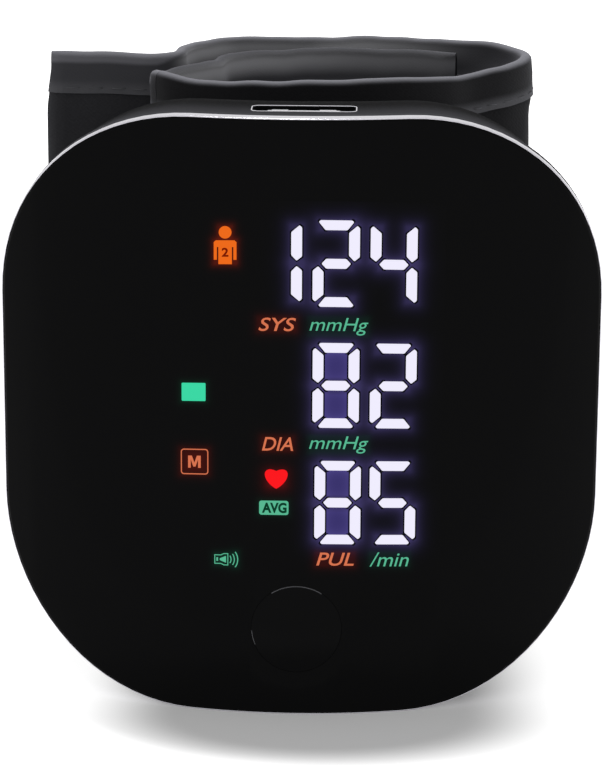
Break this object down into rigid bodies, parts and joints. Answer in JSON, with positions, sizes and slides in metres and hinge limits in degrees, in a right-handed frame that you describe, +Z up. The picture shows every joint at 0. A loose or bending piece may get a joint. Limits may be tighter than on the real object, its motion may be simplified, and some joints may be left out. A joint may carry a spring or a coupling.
{
  "type": "wrist blood pressure monitor",
  "caption": "Curved wrist blood pressure monitor with a lit digit display, a flush start button and a fabric cuff that opens round the wrist.",
  "frame": {"origin": "on the floor under the middle of the whole part's box", "axes": "+Z up along the wrist, the face looks along -Y, the cuff's free tail points to -X"},
  "size_m": [0.07, 0.0696, 0.0696],
  "materials": {
    "lens_black": "polished tinted acrylic",
    "button_black": "polished",
    "trim_silver": "satin plated ABS",
    "shell_black": "fine moulded texture",
    "inner_plastic": "moulded",
    "guide_white": "moulded",
    "board_green": "solder mask",
    "chip_black": "moulded",
    "steel": "plated steel",
    "winding_copper": "enamelled wire",
    "cell_silver": "foil pouch",
    "rubber_black": "moulded",
    "hose_clear": "silicone",
    "cuff_cloth": "brushed loop knit",
    "lining_cloth": "smooth knit",
    "binding_tape": "woven tape",
    "foam_grey": "foam sheet",
    "bladder_grey": "welded film"
  },
  "bodies": {
    "housing": {"front_lens": "lens_black", "trim_ring": "trim_silver", "front_frame": "inner_plastic", "rear_shell": "shell_black", "display_diffuser": "guide_white", "light_guide": "guide_white", "main_board": "board_green", "main_chip": "chip_black", "usb_socket": "steel", "tact_switch": "chip_black", "pressure_sensor": "chip_black", "battery_cell": "cell_silver", "speaker": "chip_black", "pump_cap": "inner_plastic", "pump_diaphragm": "rubber_black", "pump_head": "inner_plastic", "pump_can": "steel", "valve_yoke": "steel", "valve_coil": "winding_copper", "valve_spring": "steel", "air_tee": "inner_plastic", "sensor_sleeve": "hose_clear", "pump_hose": "hose_clear", "valve_hose": "hose_clear", "cuff_nipple": "inner_plastic", "case_screw_1": "steel", "case_screw_2": "steel", "case_screw_3": "steel", "case_screw_4": "steel", "cuff_plate": "shell_black", "plate_screw_1": "steel", "plate_screw_2": "steel", "cuff_cover": "cuff_cloth", "cuff_stiffener": "inner_plastic", "cuff_bladder": "bladder_grey", "cuff_lining": "lining_cloth", "cuff_binding_top": "binding_tape", "cuff_binding_bottom": "binding_tape"},
    "start_button": {"start_button": "button_black", "switch_plunger": "inner_plastic"},
    "cuff_strap": {"strap_cover": "cuff_cloth", "strap_core": "foam_grey", "strap_lining": "lining_cloth", "strap_binding_top": "binding_tape", "strap_binding_bottom": "binding_tape", "hook_patch": "cuff_cloth"},
    "cuff_flap": {"flap_cover": "cuff_cloth", "flap_core": "foam_grey", "flap_lining": "lining_cloth", "flap_binding_top": "binding_tape", "flap_binding_bottom": "binding_tape"},
    "pump_rotor": {"pump_rotor": "winding_copper", "pump_crank": "steel"},
    "valve_plunger": {"valve_plunger": "steel"}
  },
  "joints": [
    {"name": "start_button_press", "type": "slide", "parent": "housing", "child": "start_button", "axis": [0, 1, 0], "range_m": [0, 0.0004], "stiffness_N_per_m": 1500},
    {"name": "cuff_strap_open", "type": "hinge", "parent": "housing", "child": "cuff_strap", "pos_m": [0.02758, 0.01593, 0], "axis": [0, 0, -1], "range_deg": [0, 100]},
    {"name": "cuff_flap_open", "type": "hinge", "parent": "housing", "child": "cuff_flap", "pos_m": [-0.01821, 0.00118, 0], "axis": [0, 0, 1], "range_deg": [0, 26]},
    {"name": "pump_spin", "type": "hinge", "parent": "housing", "child": "pump_rotor", "pos_m": [0.0222, -0.01533, 0.04], "axis": [0, 0, 1], "continuous": true},
    {"name": "valve_release", "type": "slide", "parent": "housing", "child": "valve_plunger", "axis": [0, 0, -1], "range_m": [0, 0.0006], "stiffness_N_per_m": 300}
  ],
  "couplings": [
    {"joint": "cuff_flap_open", "follows": "cuff_strap_open", "ratio": 0.25}
  ]
}
